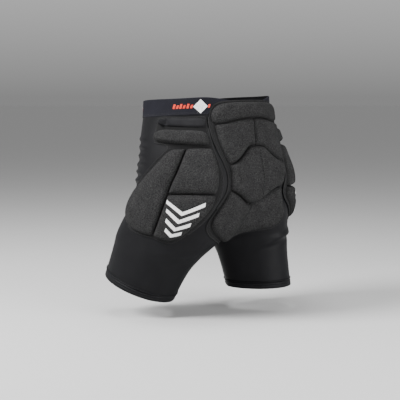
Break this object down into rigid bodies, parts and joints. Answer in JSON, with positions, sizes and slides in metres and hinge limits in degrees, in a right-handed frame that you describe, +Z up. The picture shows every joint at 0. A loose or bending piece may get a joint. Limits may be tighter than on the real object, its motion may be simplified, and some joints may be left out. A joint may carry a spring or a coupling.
{
  "type": "padded impact shorts with tailbone protector",
  "caption": "Close-fitting padded shorts with a foam tailbone panel and foam hip panels on stretch fabric, shaped as worn with one thigh forward.",
  "frame": {"origin": "centre of the waistband at its mid-height, where it sits round the wearer's waist", "axes": "+Z up, the wearer faces -Y, the wearer's left is +X; millimetres in the source, metres in the row"},
  "size_m": [0.3781, 0.3067, 0.4121],
  "materials": {
    "band_elastic": "fine-ribbed woven elastic, slight sheen",
    "shell_fabric": "smooth knitted compression fabric, satin",
    "hem_fabric": "doubled compression fabric with twin stitching",
    "panel_fabric": "brushed fabric flange, overlocked edge",
    "foam_fabric": "brushed loop fabric laminated to foam, matt",
    "tab_fabric": "smooth stretch fabric over thin foam",
    "stitch_thread": "polyester thread",
    "print_white": "white transfer print",
    "print_red": "red transfer print"
  },
  "bodies": {
    "root": {"waistband": "band_elastic", "shell_left": "shell_fabric", "shell_right": "shell_fabric", "hem_left": "hem_fabric", "hem_right": "hem_fabric", "back_panel_base": "panel_fabric", "lumbar_pad": "foam_fabric", "tailbone_pad": "foam_fabric", "upper_pad_left": "foam_fabric", "lower_pad_left": "foam_fabric", "side_panel_base_left": "panel_fabric", "hip_tab_left": "tab_fabric", "hip_bar_pad_left": "foam_fabric", "front_thigh_pad_left": "foam_fabric", "rear_thigh_pad_upper_left": "foam_fabric", "rear_thigh_pad_lower_left": "foam_fabric", "upper_pad_right": "foam_fabric", "lower_pad_right": "foam_fabric", "side_panel_base_right": "panel_fabric", "hip_tab_right": "tab_fabric", "hip_bar_pad_right": "foam_fabric", "front_thigh_pad_right": "foam_fabric", "rear_thigh_pad_upper_right": "foam_fabric", "rear_thigh_pad_lower_right": "foam_fabric"}
  },
  "joints": []
}
